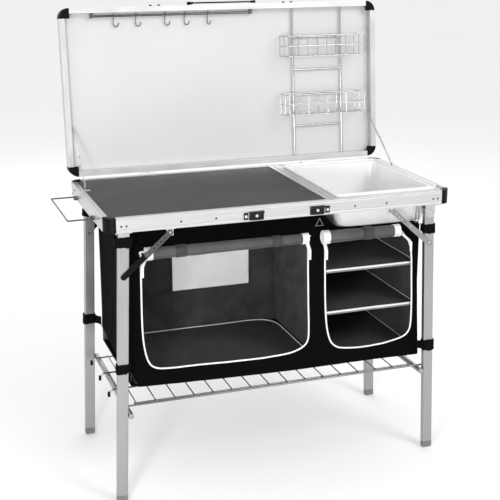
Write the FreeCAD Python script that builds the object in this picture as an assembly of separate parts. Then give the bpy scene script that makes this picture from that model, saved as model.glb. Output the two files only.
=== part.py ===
"""Camp kitchen table: a case-type aluminium table that folds out on four legs.

The base case carries a worktop and a drop-in sink, the lid stands up behind it as a splash-back
with a hook rail and a spice rack, and a fabric cabinet and a wire shelf hang between the legs.
Millimetres. X runs along the table, +Y is towards the lid, +Z is up, and the ground is z = 0.
"""
import os
from math import cos, radians, sin, tan

import FreeCAD
import Part

V = FreeCAD.Vector

# Case
WIDTH, DEPTH, HEIGHT = 1000.0, 490.0, 815.0
RAIL_H, RAIL_T, LEDGE, RAIL_WALL = 40.0, 14.0, 14.0, 1.6
CORNER_R = 30.0
PANEL_T, PANEL_TOP = 12.0, 812.0
WORKTOP_END, DIVIDER_END = 120.0, 152.0

# Lid, drawn closed and then turned open about the hinge line
LID_GAP, LID_H, LID_RAIL_T, LID_PANEL_IN = 2.5, 36.0, 16.0, 26.0
LID_OPEN = 95.3
HINGE_Y, HINGE_Z = 249.5, 816.25
HINGE_X, HINGE_W = 262.0, 52.0

# Leg frames
LEG_X, LEG_Z, LEG_SPLAY = 450.0, 745.0, 2.19
LEG_W, LEG_T, LEG_WALL = 30.0, 18.0, 1.8
LEG_Y = {-1: 228.0, 1: 206.0}
FOOT_H = 20.0
BAR_R, BAR_DOWN = 8.0, 490.0
STRUT_DOWN, STRUT_X, STRUT_Z, STRUT_W = 92.0, 326.0, 764.0, 16.0

# Sink
BOWL_X, BOWL_Y, BOWL_FLOOR, BOWL_WALL = (170.0, 462.0), (-188.0, 188.0), 715.0, 3.0
RIM_X, RIM_Y = (157.0, 476.5), (-214.0, 214.0)

# Spice rack and hook rail, in lid coordinates (s up from the hinge edge, w in from the rim)
RACK_X, RACK_W, ROD_S, ROD_W = 306.0, 18.0, 464.0, 13.0
HOOKS_X = (-338.0, -271.0, -182.0, -121.0, -49.0)
HOOKS_TURN = (0.0, 8.0, 4.0, 42.0, 70.0)

# Cabinet
CAB_X, CAB_Y, CAB_Z, CAB_MID, CLOTH = 434.0, 190.0, 322.0, 120.0, 2.5
CAB_TOP, CAB_FRONT_TOP, CAB_RIGHT_TOP, CAB_STEP, CAB_HEM = 765.0, 718.0, 706.0, 128.0, 307.0
BOARD_T, BOARDS_Z = 5.0, (461.0, 587.0)

# Lid stays, and the pocket in the worktop that the left one's bracket sits in
STAY_X, STAY_Y, STAY_Z, STAY_T = 480.0, 102.0, 825.0, 1.6
STAY_S, STAY_W = 143.0, 12.8
POCKET = 0.3

# Wire shelf
SHELF_Z, SHELF_R, SHELF_Y = 265.4, 2.5, (-190.0, -178.0, -65.0, 60.0, 185.0)

nodes = {}


def box(x, y, z):
    """Box between coordinate pairs."""
    x, y, z = sorted(x), sorted(y), sorted(z)
    return Part.makeBox(x[1] - x[0], y[1] - y[0], z[1] - z[0], V(x[0], y[0], z[0]))


def rod(a, b, r):
    """Round bar from point a to point b."""
    a, b = V(*a), V(*b)
    return Part.makeCylinder(r, (b - a).Length, a, b - a)


def ball(p, r):
    return Part.makeSphere(r, V(*p))


def bent_rod(points, r):
    """Round bar through several points, with a ball at each bend."""
    shape = rod(points[0], points[1], r)
    for a, b in zip(points[1:], points[2:]):
        shape = shape.fuse(rod(a, b, r)).fuse(ball(a, r))
    return shape


def fused(shapes):
    first, *rest = shapes
    return first.multiFuse(rest).removeSplitter() if rest else first


def prism(points, axis, length):
    """Polygon drawn in a plane, pushed out along an axis."""
    wire = Part.makePolygon([V(*p) for p in [*points, points[0]]])
    return Part.Face(wire).extrude(V(*axis) * length)


def mirror_x(shape):
    return shape.mirror(V(0, 0, 0), V(1, 0, 0))


def mirror_y(shape):
    return shape.mirror(V(0, 0, 0), V(0, 1, 0))


def rounded(x, y, z, r):
    """Box with its four upright edges rounded."""
    shape = box(x, y, z)
    upright = [
        e for e in shape.Edges if abs(e.tangentAt(e.FirstParameter).z) > 0.99
    ]
    return shape.makeFillet(r, upright)


def node(name, *shapes):
    nodes[name] = list(shapes)


def in_lid(x, s, w):
    """A point of the closed lid: s from the hinge edge, w in from the rim."""
    return (x, DEPTH / 2 - s, HEIGHT + LID_GAP + w)


def opened(shape):
    """Turn a piece of the closed lid to its open place."""
    shape = shape.copy()
    shape.rotate(V(0, HINGE_Y, HINGE_Z), V(1, 0, 0), -LID_OPEN)
    return shape


def opened_point(x, s, w):
    p = opened(Part.Vertex(*in_lid(x, s, w))).Point
    return (p.x, p.y, p.z)


# ---------------------------------------------------------------- base case
X, Y = WIDTH / 2, DEPTH / 2
XC, YC = X - CORNER_R, Y - CORNER_R
Z0 = HEIGHT - RAIL_H
LEDGE_Z = PANEL_TOP - PANEL_T


def rail_section(out, along, start):
    """Section of a case rail: a grooved outer wall with a ledge behind it for the panels."""
    pts = [
        (0, Z0), (0, Z0 + 5), (1, Z0 + 6), (1, Z0 + 8), (0, Z0 + 9),
        (0, HEIGHT - 7), (1, HEIGHT - 6), (1, HEIGHT - 4.5), (0, HEIGHT - 3.5), (0, HEIGHT - 1.5),
        (1.5, HEIGHT), (RAIL_T, HEIGHT), (RAIL_T, LEDGE_Z), (RAIL_T + LEDGE, LEDGE_Z),
        (RAIL_T + LEDGE, LEDGE_Z - 3), (RAIL_T, LEDGE_Z - 12), (RAIL_T, Z0),
    ]
    if along == "x":
        return [(start, out * (Y - t), z) for t, z in pts]
    return [(out * (X - t), start, z) for t, z in pts]


CHAMBER = (1 + RAIL_WALL, RAIL_T - RAIL_WALL)
CHAMBER_Z = (Z0 + 2, HEIGHT - 2)

front_rail = prism(rail_section(-1, "x", -XC), (1, 0, 0), 2 * XC)
front_rail = front_rail.cut(box((-XC, XC), [-Y + c for c in CHAMBER], CHAMBER_Z))
node("front_rail", front_rail)
node("rear_rail", mirror_y(front_rail))

side = prism(rail_section(-1, "y", -YC), (0, 1, 0), 2 * YC)
side = side.cut(box([-X + c for c in CHAMBER], (-YC, YC), CHAMBER_Z))
for end in (-1, 1):
    side = side.cut(box((-X + RAIL_T, -X + 60), (end * 200, end * 240), (Z0, LEDGE_Z)))
node("side_rails", side, mirror_x(side))


def corner_cap(radius, wall, z_low, z_high, plate_z, ribs_z):
    """Quarter-round corner piece with ribs round its wall and a cover plate inside."""
    outer = Part.makeCylinder(radius, z_high - z_low, V(0, 0, z_low), V(0, 0, 1), 90)
    inner = Part.makeCylinder(radius - wall, z_high - z_low, V(0, 0, z_low), V(0, 0, 1), 90)
    cap = outer.cut(inner)
    for z in ribs_z:
        groove = Part.makeTorus(radius + 0.6, 1.6, V(0, 0, z), V(0, 0, 1))
        cap = cap.cut(groove)
    thick = plate_z[1] - plate_z[0]
    plate = Part.makeCylinder(radius - wall, thick, V(0, 0, plate_z[0]), V(0, 0, 1), 90)
    return cap.fuse(plate).removeSplitter()


def four_corners(cap, x, y):
    cap = cap.translated(V(x, y, 0))
    return [cap, mirror_x(cap), mirror_y(cap), mirror_x(mirror_y(cap))]


base_cap = corner_cap(CORNER_R, RAIL_T, Z0, HEIGHT, (Z0, Z0 + 8), (Z0 + 10, Z0 + 20, Z0 + 30))
base_corners = four_corners(base_cap, XC, YC)
node("base_corners", *base_corners)

worktop = box((-X + RAIL_T, WORKTOP_END), (-Y + RAIL_T, Y - RAIL_T), (LEDGE_Z, PANEL_TOP))
pocket = box((-X + RAIL_T, -STAY_X + 14), (STAY_Y - 9, STAY_Y + 9), (PANEL_TOP - POCKET, PANEL_TOP))
sink_strips = [
    box((WORKTOP_END, DIVIDER_END), (-Y + RAIL_T, Y - RAIL_T), (LEDGE_Z, HEIGHT)),
    box((DIVIDER_END, X - RAIL_T), (-Y + RAIL_T, -205), (LEDGE_Z, PANEL_TOP)),
    box((DIVIDER_END, X - RAIL_T), (205, Y - RAIL_T), (LEDGE_Z, PANEL_TOP)),
    box((472, X - RAIL_T), (-205, 205), (LEDGE_Z, PANEL_TOP)),
]
rounding = Part.makeCompound(
    four_corners(
        Part.makeCylinder(CORNER_R, RAIL_H, V(0, 0, Z0), V(0, 0, 1), 90).cut(
            Part.makeCylinder(CORNER_R - RAIL_T, RAIL_H, V(0, 0, Z0), V(0, 0, 1), 90)
        ), XC, YC,
    )
)
node("worktop_panel", worktop.cut(rounding).cut(pocket))
groove = box((WORKTOP_END + 15, WORKTOP_END + 17), (-Y + RAIL_T, Y - RAIL_T), (HEIGHT - 1.5, HEIGHT))
core = box(
    (WORKTOP_END + RAIL_WALL, DIVIDER_END - RAIL_WALL), (-Y + RAIL_T, Y - RAIL_T),
    (LEDGE_Z + RAIL_WALL, HEIGHT - 1.5 - RAIL_WALL),
)
divider = sink_strips[0].cut(groove).cut(core)
node("sink_frame", divider, *[s.cut(rounding) for s in sink_strips[1:]])


def rivet(p, axis, r=3.2, h=1.6):
    """Rivet head standing on a face."""
    return Part.makeCone(r, r * 0.55, h, V(*p), V(*axis))


rivets = []
for x in (-457, -443, -297, -201, 201, 297, 443, 457):
    rivets.append(rivet((x, -Y, Z0 + 17), (0, -1, 0)))
    rivets.append(rivet((x, Y, Z0 + 17), (0, 1, 0)))
for y in (-172, 172):
    rivets.append(rivet((-X, y, Z0 + 24), (-1, 0, 0)))
    rivets.append(rivet((X, y, Z0 + 24), (1, 0, 0)))
node("rail_rivets", *rivets)

# ---------------------------------------------------------------- lid hinges
KNUCKLE_R, PIN_R = 3.2, 1.5


def hinge_base(x):
    """Fixed leaf on the rear rail with its two outer knuckles and the pin."""
    half, mid = HINGE_W / 2, 9.0
    leaf = box((x - half, x + half), (Y - RAIL_T, Y), (HEIGHT, HEIGHT + 1))
    parts = [leaf, rod((x - half, HINGE_Y, HINGE_Z), (x + half, HINGE_Y, HINGE_Z), PIN_R)]
    for a, b in ((x - half, x - mid), (x + mid, x + half)):
        parts.append(box((a, b), (Y - 1, HINGE_Y), (HEIGHT, HINGE_Z)))
        parts.append(rod((a, HINGE_Y, HINGE_Z), (b, HINGE_Y, HINGE_Z), KNUCKLE_R))
    return fused(parts)


def hinge_lid(x):
    """Moving leaf on the lid rim with its middle knuckle."""
    half, mid, z = HINGE_W / 2, 8.7, HEIGHT + LID_GAP
    leaf = box((x - half, x + half), (Y - LID_RAIL_T, Y), (z - 1.1, z))
    arm = box((x - mid, x + mid), (Y - 1, HINGE_Y), (z - 1.1, z))
    knuckle = rod((x - mid, HINGE_Y, HINGE_Z), (x + mid, HINGE_Y, HINGE_Z), KNUCKLE_R)
    bore = rod((x - half, HINGE_Y, HINGE_Z), (x + half, HINGE_Y, HINGE_Z), PIN_R + 0.1)
    return fused([leaf, arm, knuckle]).cut(bore)


node("hinge_leaves_base", hinge_base(-HINGE_X), hinge_base(HINGE_X))
node("hinge_leaves_lid", opened(hinge_lid(-HINGE_X)), opened(hinge_lid(HINGE_X)))

# ---------------------------------------------------------------- latches
LATCH_X, LATCH_W, LATCH_Z, LATCH_H, KEEPER_GAP = 88.0, 38.0, 799.0, 21.0, 30.0


def latch_plate(x):
    """Backing plate with two pivot lugs, and the riveted keeper beside it."""
    a, b = x - LATCH_W / 2, x + LATCH_W / 2
    parts = [box((a - 2, b + 2), (-Y, -Y - 1), (LATCH_Z - LATCH_H, LATCH_Z + 3))]
    for p, q, r in ((a - 2, a - 0.4, a + 4), (b + 2, b + 0.4, b - 4)):
        parts.append(box((p, q), (-Y, -Y - 6), (LATCH_Z - 3, LATCH_Z + 3)))
        parts.append(rod((p, -Y - 3.6, LATCH_Z), (r, -Y - 3.6, LATCH_Z), 1.1))
    return fused(parts)


def keeper(x):
    plate = box((x - 6, x + 6), (-Y, -Y - 2.5), (LATCH_Z - 18, LATCH_Z + 1))
    return plate.fuse(rivet((x, -Y - 2.5, LATCH_Z - 8.5), (0, -1, 0))).removeSplitter()


def latch_lever(x):
    """Lever plate hanging from a pivot barrel along its top edge, with a raised rivet."""
    a, b = x - LATCH_W / 2, x + LATCH_W / 2
    barrel = rod((a, -Y - 3.6, LATCH_Z), (b, -Y - 3.6, LATCH_Z), 2.3)
    plate = box((a, b), (-Y - 2.4, -Y - 4.6), (LATCH_Z - 20, LATCH_Z))
    lip = box((a + 4, b - 4), (-Y - 4.6, -Y - 8), (LATCH_Z - 20, LATCH_Z - 18))
    head = rivet((x, -Y - 4.6, LATCH_Z - 9), (0, -1, 0), 3.5, 1.5)
    bore = rod((a - 1, -Y - 3.6, LATCH_Z), (b + 1, -Y - 3.6, LATCH_Z), 1.2)
    return fused([barrel, plate, lip, head]).cut(bore)


latch_parts = [latch_plate(x) for x in (-LATCH_X, LATCH_X)]
latch_parts += [keeper(x) for x in (-LATCH_X - KEEPER_GAP, LATCH_X + KEEPER_GAP)]
node("latch_plates", *latch_parts)
node("latch_lever_left", latch_lever(-LATCH_X))
node("latch_lever_right", latch_lever(LATCH_X))

# ---------------------------------------------------------------- sink basin


def tub(x, y, z_top, z_low, draft, r):
    """Tapered tub with rounded corners."""
    wires = []
    for z, d in ((z_top, 0), (z_low, draft)):
        shape = rounded((x[0] + d, x[1] - d), (y[0] + d, y[1] - d), (z, z + 1), r)
        face = min(shape.Faces, key=lambda f: f.CenterOfMass.z)
        wires.append(face.OuterWire)
    return Part.makeLoft(wires, True, True)


def sink_basin():
    top = PANEL_TOP
    wall = BOWL_WALL
    outer_x = (BOWL_X[0] - wall, BOWL_X[1] + wall)
    outer_y = (BOWL_Y[0] - wall, BOWL_Y[1] + wall)
    outer = tub(outer_x, outer_y, top + 3, BOWL_FLOOR, 12, 27)
    flange = rounded(RIM_X, RIM_Y, (top, top + 3), 24)
    lip = rounded(RIM_X, RIM_Y, (top + 3, top + 8), 24).cut(
        rounded((RIM_X[0] + 5, RIM_X[1] - 5), (RIM_Y[0] + 5, RIM_Y[1] - 5), (top + 3, top + 8), 19)
    )
    inner = tub(BOWL_X, BOWL_Y, top + 3, BOWL_FLOOR + wall, 12, 24)
    return fused([outer, flange, lip]).cut(inner)


node("sink_basin", sink_basin())

# ---------------------------------------------------------------- towel rail
TOWEL_X, TOWEL_Z, TOWEL_Y, TOWEL_R = -571.0, 783.0, (-108.0, 156.0), 2.2
TOWEL_PIVOT = -X - 5.0


def towel_clip(y):
    """Block on the left rail that holds one bent end of the towel rail."""
    block = box((-X, -X - 9), (y - 6, y + 6), (TOWEL_Z - 5, TOWEL_Z + 5))
    return block.cut(rod((TOWEL_PIVOT, y - 7, TOWEL_Z), (TOWEL_PIVOT, y + 7, TOWEL_Z), TOWEL_R + 0.1))


inset = 14
node("towel_rail_clips", towel_clip(TOWEL_Y[0] + inset), towel_clip(TOWEL_Y[1] - inset))
towel_path = [
    (TOWEL_PIVOT, TOWEL_Y[0] + inset + 8, TOWEL_Z), (TOWEL_PIVOT, TOWEL_Y[0], TOWEL_Z),
    (TOWEL_X, TOWEL_Y[0], TOWEL_Z), (TOWEL_X, TOWEL_Y[1], TOWEL_Z),
    (TOWEL_PIVOT, TOWEL_Y[1], TOWEL_Z), (TOWEL_PIVOT, TOWEL_Y[1] - inset - 8, TOWEL_Z),
]
node("towel_rail", bent_rod(towel_path, TOWEL_R).removeSplitter())

# ---------------------------------------------------------------- legs


def leg_frame(shape, side_):
    """Lean a piece drawn under a pivot at the origin and move it to the side's pivot line."""
    shape = shape.copy()
    shape.rotate(V(0, 0, 0), V(0, 1, 0), -side_ * LEG_SPLAY)
    shape.translate(V(side_ * LEG_X, 0, LEG_Z))
    return shape


LEG_LEN = LEG_Z / cos(radians(LEG_SPLAY))
PIVOT_R, RUN = 4.0, 0.1


def leg(side_, end):
    """Rectangular leg tube with bores for its pivot and for the strut."""
    y = end * LEG_Y[side_]
    low = -LEG_LEN + FOOT_H
    w, t = LEG_W / 2, LEG_T / 2
    tube = rounded((-w, w), (y - t, y + t), (low, 12), 3)
    bore_w, bore_t = w - LEG_WALL, t - LEG_WALL
    tube = tube.cut(box((-bore_w, bore_w), (y - bore_t, y + bore_t), (low, 10)))
    for z, r in ((0, PIVOT_R), (-STRUT_DOWN, 3.0)):
        tube = tube.cut(rod((0, y - 20, z), (0, y + 20, z), r + RUN))
    return leg_frame(tube, side_)


def foot(side_, end):
    """Ribbed plug closing the lower end of a leg, cut level with the ground."""
    y = end * LEG_Y[side_]
    top = -LEG_LEN + FOOT_H
    plug, rib = LEG_W / 2 - 1.5, LEG_W / 2 - 0.5
    parts = [box((-plug, plug), (y - 7.5, y + 7.5), (top - FOOT_H - 4, top))]
    for z in (top - 2, top - 7.5, top - 13):
        parts.append(box((-rib, rib), (y - 8.5, y + 8.5), (z - 2.5, z)))
    shape = leg_frame(fused(parts), side_)
    return shape.common(box((-700, 700), (-400, 400), (0, 100)))


def crossbar(side_):
    """Round bar on the inner faces of a pair of legs, which carries the shelf."""
    y = LEG_Y[side_] + LEG_T / 2
    x = -side_ * (LEG_W / 2 + BAR_R)
    return leg_frame(rod((x, -y, -BAR_DOWN), (x, y, -BAR_DOWN), BAR_R), side_)


def leg_bracket(side_, end):
    """Forked bracket under the case with the pin that a leg turns on."""
    y = LEG_Y[side_]
    x = side_ * LEG_X
    lo, hi = y - LEG_T / 2 - 0.4, y + LEG_T / 2 + 0.4
    plate = box((x - 22, x + 22), (lo - 2.4, max(hi + 2.4, Y - 3)), (Z0 - 3, Z0))
    parts = [plate]
    for a, b in ((lo - 2.4, lo), (hi, hi + 2.4)):
        parts.append(box((x - 15, x + 15), (a, b), (LEG_Z, Z0)))
        parts.append(rod((x, a, LEG_Z), (x, b, LEG_Z), 15))
    parts.append(rod((x, lo - 3.6, LEG_Z), (x, hi + 3.6, LEG_Z), PIVOT_R))
    shape = fused(parts)
    return shape if end > 0 else mirror_y(shape)


SIDES = {-1: "left", 1: "right"}
for s_, name in SIDES.items():
    node(f"legs_{name}", leg(s_, -1), leg(s_, 1))
    node(f"feet_{name}", foot(s_, -1), foot(s_, 1))
    node(f"crossbar_{name}", crossbar(s_))
node("leg_brackets", *[leg_bracket(s_, e) for s_ in (-1, 1) for e in (-1, 1)])

# ---------------------------------------------------------------- folding struts


def strut_points(side_):
    """Lower pivot on the leg, middle pivot and upper pivot under the case."""
    a = radians(LEG_SPLAY)
    low = V(side_ * (LEG_X + STRUT_DOWN * sin(a)), 0, LEG_Z - STRUT_DOWN * cos(a))
    top = V(side_ * STRUT_X, 0, STRUT_Z)
    return low, (low + top) * 0.5, top


def link(a, b, y, t, w, holes=()):
    """Flat bar with round ends from a to b, t thick from the face at y."""
    d = (b - a).normalize()
    n = V(-d.z, 0, d.x) * (w / 2)
    corners = [a + n, b + n, b - n, a - n]
    bar = prism([(p.x, y, p.z) for p in corners], (0, 1, 0), t)
    for p in (a, b):
        bar = bar.fuse(rod((p.x, y, p.z), (p.x, y + t, p.z), w / 2))
    for p, r in holes:
        bar = bar.cut(rod((p.x, y - 1, p.z), (p.x, y + t + 1, p.z), r))
    return bar.removeSplitter()


def strut_lower(side_):
    """Link on the leg's outer face with raised edges, and the rivet that it turns on."""
    low, mid, _ = strut_points(side_)
    face = LEG_Y[side_] + LEG_T / 2 + 0.6
    bar = link(low, mid, face, 2.0, STRUT_W)
    stud = rod((low.x, face - 6, low.z), (low.x, face, low.z), 3.0)
    head = rivet((low.x, face + 2, low.z), (0, 1, 0), 5, 1.4)
    return fused([bar, stud, head])


def strut_upper(side_):
    """Perforated link under the case, with the head of the middle rivet."""
    _, mid, top = strut_points(side_)
    face = LEG_Y[side_] + LEG_T / 2 + 3.0
    bar = link(mid, top, face, 2.0, STRUT_W - 1, [(top, 3.1)])
    for f in (0.3, 0.45, 0.6, 0.75):
        p = mid + (top - mid) * f
        bar = bar.cut(rod((p.x, face - 1, p.z), (p.x, face + 3, p.z), 2.2))
    return fused([bar, rivet((mid.x, face + 2, mid.z), (0, 1, 0), 5, 1.4)])


def strut_bracket(side_):
    """Tab under the case with the pin of the upper strut link."""
    top = strut_points(side_)[2]
    face = LEG_Y[side_] + LEG_T / 2
    tab = box((top.x - 9, top.x + 9), (face, face + 2.6), (STRUT_Z - 9, Z0))
    foot_ = box((top.x - 14, top.x + 14), (face, Y - 3), (Z0 - 2, Z0))
    pin = rod((top.x, face, top.z), (top.x, face + 5.4, top.z), 3.0)
    return fused([tab, foot_, pin])


for s_, name in SIDES.items():
    lower, upper = strut_lower(s_), strut_upper(s_)
    node(f"strut_lower_{name}", mirror_y(lower), lower)
    node(f"strut_upper_{name}", mirror_y(upper), upper)
brackets = [strut_bracket(s_) for s_ in (-1, 1)]
node("strut_brackets", *brackets, *[mirror_y(b) for b in brackets])

# ---------------------------------------------------------------- lid frame
LZ = HEIGHT + LID_GAP


def lid_section(along, start):
    """Section of a lid rail: rounded outer edge with a slot inside for the panel."""
    t, p = LID_RAIL_T, LID_PANEL_IN
    pts = [
        (0, LZ), (0, LZ + 8), (1, LZ + 9), (1, LZ + 11), (0, LZ + 12), (0, LZ + LID_H - 5),
        (1.5, LZ + LID_H - 1.5), (5, LZ + LID_H), (t, LZ + LID_H), (t, LZ + p + 3), (t, LZ),
    ]
    if along == "x":
        return [(start, -Y + d, z) for d, z in pts]
    return [(-X + d, start, z) for d, z in pts]


LID_CHAMBER = (1 + RAIL_WALL, LID_RAIL_T - RAIL_WALL)
LID_CHAMBER_Z = (LZ + 2, LZ + LID_H - 4)

lid_front = prism(lid_section("x", -XC), (1, 0, 0), 2 * XC)
lid_front = lid_front.cut(box((-XC, XC), [-Y + c for c in LID_CHAMBER], LID_CHAMBER_Z))
lid_side = prism(lid_section("y", -YC), (0, 1, 0), 2 * YC)
lid_side = lid_side.cut(box([-X + c for c in LID_CHAMBER], (-YC, YC), LID_CHAMBER_Z))
node("lid_top_rail", opened(lid_front))
node("lid_bottom_rail", opened(mirror_y(lid_front)))
node("lid_side_rails", opened(lid_side), opened(mirror_x(lid_side)))
lid_cap = corner_cap(CORNER_R, LID_RAIL_T, LZ, LZ + LID_H, (LZ, LZ + 6), (LZ + 10, LZ + 19, LZ + 28))
for r in (6, 11, 22):
    ring = Part.makeCylinder(r + 2, 2, V(0, 0, LZ), V(0, 0, 1), 90)
    lid_cap = lid_cap.cut(ring.cut(Part.makeCylinder(r, 2, V(0, 0, LZ), V(0, 0, 1), 90)))
node("lid_corners", *[opened(c) for c in four_corners(lid_cap, XC, YC)])
panel = rounded(
    (-X + LID_RAIL_T, X - LID_RAIL_T), (-Y + LID_RAIL_T, Y - LID_RAIL_T),
    (LZ + LID_PANEL_IN, LZ + LID_PANEL_IN + 3), CORNER_R - LID_RAIL_T + 0.5,
)
node("lid_panel", opened(panel))

# Keepers for the latches, bumper studs and the carrying handle on the lid's front edge
HANDLE_X, HANDLE_Z, HANDLE_Y = 98.0, LZ + 25.0, -Y - 6.0
strikes = [box((x - 13, x + 13), (-Y, -Y - 2), (LZ + 2, LZ + 10)) for x in (-LATCH_X, LATCH_X)]
node("lid_strikes", *[opened(s) for s in strikes])
studs = [Part.makeCone(5, 4, 4, V(x, -Y, LZ + 18), V(0, -1, 0)) for x in (-224, -198, 198, 224)]
node("lid_studs", *[opened(s) for s in studs])


def handle_mount(x):
    """Lug with a stub that a handle arm turns on."""
    lug = box((x - 4, x + 4), (-Y, -Y - 10), (HANDLE_Z - 5, HANDLE_Z + 5))
    inward = 1 if x < 0 else -1
    stub = rod((x, HANDLE_Y, HANDLE_Z), (x + inward * 10, HANDLE_Y, HANDLE_Z), 2)
    return lug.fuse(stub).removeSplitter()


node("handle_mounts", opened(handle_mount(-HANDLE_X - 6)), opened(handle_mount(HANDLE_X + 6)))


def handle():
    """Carrying handle: a grip bar between two arms that turn on the stubs."""
    drop = 17.0
    parts = []
    for e in (-1, 1):
        a, b = e * (HANDLE_X + 1.4), e * (HANDLE_X - 4)
        eye = rod((a, HANDLE_Y, HANDLE_Z), (b, HANDLE_Y, HANDLE_Z), 3.6)
        arm = box((a, b), (HANDLE_Y - 3, HANDLE_Y + 3), (HANDLE_Z - drop, HANDLE_Z))
        bore = rod((e * (HANDLE_X - 14), HANDLE_Y, HANDLE_Z), (a, HANDLE_Y, HANDLE_Z), 2.1)
        parts.append(eye.fuse(arm).cut(bore))
    grip_z = HANDLE_Z - drop + 3
    grip = rod((-HANDLE_X + 4, HANDLE_Y, grip_z), (HANDLE_X - 4, HANDLE_Y, grip_z), 2.2)
    return [opened(p.removeSplitter()) for p in parts] + [opened(grip)]


node("handle_bail", *handle())

# ---------------------------------------------------------------- hook rail
ROD_X = (-405.0, 87.0)
POST = 4.0


def hook_rail():
    """Round rail between two posts that hang from the lid's top rail."""
    parts = [rod(in_lid(ROD_X[0] - POST, ROD_S, ROD_W), in_lid(ROD_X[1] + POST, ROD_S, ROD_W), 3)]
    post_y = (-Y + LID_RAIL_T, -Y + LID_RAIL_T + 15)
    for x in ROD_X:
        parts.append(box((x - POST, x + POST), post_y, (LZ + ROD_W - 5, LZ + ROD_W + 5)))
    return fused(parts)


node("hook_rail", opened(hook_rail()))


def s_hook(x, turn):
    """Twisted utensil hook hanging plumb from the rail, its foot turned from the rail to the front."""
    _, y, z = opened_point(x, ROD_S, ROD_W)
    top_r, foot_r, wire, drop = 4.7, 7.6, 1.4, 24.0
    side, front = cos(radians(turn)), -sin(radians(turn))

    def eye(a):
        return V(x, y + top_r * cos(radians(a)), z + top_r * sin(radians(a)))

    def foot_loop(a):
        out = foot_r * (1 + cos(radians(a)))
        return V(x + out * side, y + top_r + out * front, z - drop + foot_r * sin(radians(a)))

    start, shank, tip = eye(200), eye(0), foot_loop(375)
    path = Part.Wire([
        Part.Arc(start, eye(100), shank).toShape(),
        Part.makeLine(shank, foot_loop(180)),
        Part.Arc(foot_loop(180), foot_loop(270), tip).toShape(),
    ])
    lead = V(0, -sin(radians(200)), cos(radians(200)))
    body = path.makePipeShell([Part.Wire([Part.makeCircle(wire, start, lead)])], True, False)
    return fused([body, Part.makeSphere(1.9, tip)])


for i, (x, turn) in enumerate(zip(HOOKS_X, HOOKS_TURN), 1):
    node(f"hook_{i}", s_hook(x, turn))

# ---------------------------------------------------------------- spice rack
RUNGS = (384.0, 284.0, 206.0, 109.0)
LADDER_HALF = 81.0
uprights = [
    rod(in_lid(RACK_X + e * LADDER_HALF, LID_RAIL_T, RACK_W),
        in_lid(RACK_X + e * LADDER_HALF, DEPTH - LID_RAIL_T, RACK_W), 2.5)
    for e in (-1, 1)
]
rungs = [
    rod(in_lid(RACK_X - LADDER_HALF, s, RACK_W), in_lid(RACK_X + LADDER_HALF, s, RACK_W), 2.5).cut(
        Part.makeCompound(uprights)
    )
    for s in RUNGS
]
node("spice_ladder", *[opened(s) for s in uprights + rungs])

BASKET_HALF, BASKET_W, BASKET_H = 126.0, (12.0, -66.0), 62.0


def basket(rung_s):
    """Open wire basket that hooks over a ladder rung."""
    top = rung_s + 4.6
    x0, x1 = RACK_X - BASKET_HALF, RACK_X + BASKET_HALF
    back, front = BASKET_W
    parts = []

    def wire(a, b, r):
        parts.append(rod(in_lid(*a), in_lid(*b), r))

    for s, r in ((top, 1.6), (top - BASKET_H / 2, 1.2), (top - BASKET_H, 1.4)):
        loop = [(x0, s, back), (x1, s, back), (x1, s, front), (x0, s, front)]
        for a, b in zip(loop, loop[1:] + loop[:1]):
            wire(a, b, r)
            parts.append(ball(in_lid(*a), r))
    for x in (x0, x1):
        for w in (back, (back + front) / 2, front):
            wire((x, top, w), (x, top - BASKET_H, w), 1.3)
    slats = 11
    for i in range(1, slats + 1):
        x = x0 + (x1 - x0) * i / (slats + 1)
        wire((x, top - BASKET_H, back), (x, top - BASKET_H, front), 1.3)
        if i % 3 == 0:
            wire((x, top, front), (x, top - BASKET_H, front), 1.3)
            wire((x, top, back), (x, top - BASKET_H, back), 1.3)
    over = RACK_W + 4.2
    for x in (RACK_X - 50, RACK_X + 50):
        hook = [(x, top, back), (x, top, over), (x, top - 9, over)]
        for a, b in zip(hook, hook[1:]):
            wire(a, b, 1.3)
            parts.append(ball(in_lid(*b), 1.3))
    return opened(fused(parts))


node("basket_upper", basket(RUNGS[0]))
node("basket_lower", basket(RUNGS[2]))

# ---------------------------------------------------------------- lid stays
stay_lid = V(*opened_point(STAY_X, STAY_S, STAY_W))
stay_base = V(STAY_X, STAY_Y, STAY_Z)
stay_mid = (stay_lid + stay_base) * 0.5


def stay_link(a, b, x):
    """Flat bar with round ends in a plane of constant x."""
    d = (b - a).normalize()
    n = V(0, -d.z, d.y) * 3.0
    bar = prism([(x, p.y, p.z) for p in (a + n, b + n, b - n, a - n)], (1, 0, 0), STAY_T)
    for p in (a, b):
        bar = bar.fuse(rod((x, p.y, p.z), (x + STAY_T, p.y, p.z), 3.0))
    return bar


def stay_lower():
    """Lower link with the hole that its bracket's pin passes through."""
    hole = rod((STAY_X - 1, STAY_Y, STAY_Z), (STAY_X + 3, STAY_Y, STAY_Z), 1.7)
    return stay_link(stay_base, stay_mid, STAY_X).cut(hole).removeSplitter()


def stay_upper():
    """Upper link with the stud that turns in the lid's side rail."""
    x = STAY_X - 0.8 - STAY_T
    tip = X - LID_RAIL_T + 6
    stud = rod((x + STAY_T, stay_lid.y, stay_lid.z), (tip, stay_lid.y, stay_lid.z), 2.0)
    return fused([stay_link(stay_mid, stay_lid, x), stud])


def stay_bracket(foot_x, foot_z):
    """Small angle with the pin of the lower link, screwed down beside it."""
    lo, hi = STAY_X + 2.0, STAY_X + 3.6
    foot_ = box((min(foot_x, lo), max(foot_x, hi)), (STAY_Y - 8, STAY_Y + 8), (foot_z, foot_z + 1.5))
    ear = box((lo, hi), (STAY_Y - 5, STAY_Y + 5), (foot_z, STAY_Z + 2.5))
    pin = rod((STAY_X - 0.3, STAY_Y, STAY_Z), (hi, STAY_Y, STAY_Z), 1.6)
    return fused([foot_, ear, pin])


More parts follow.
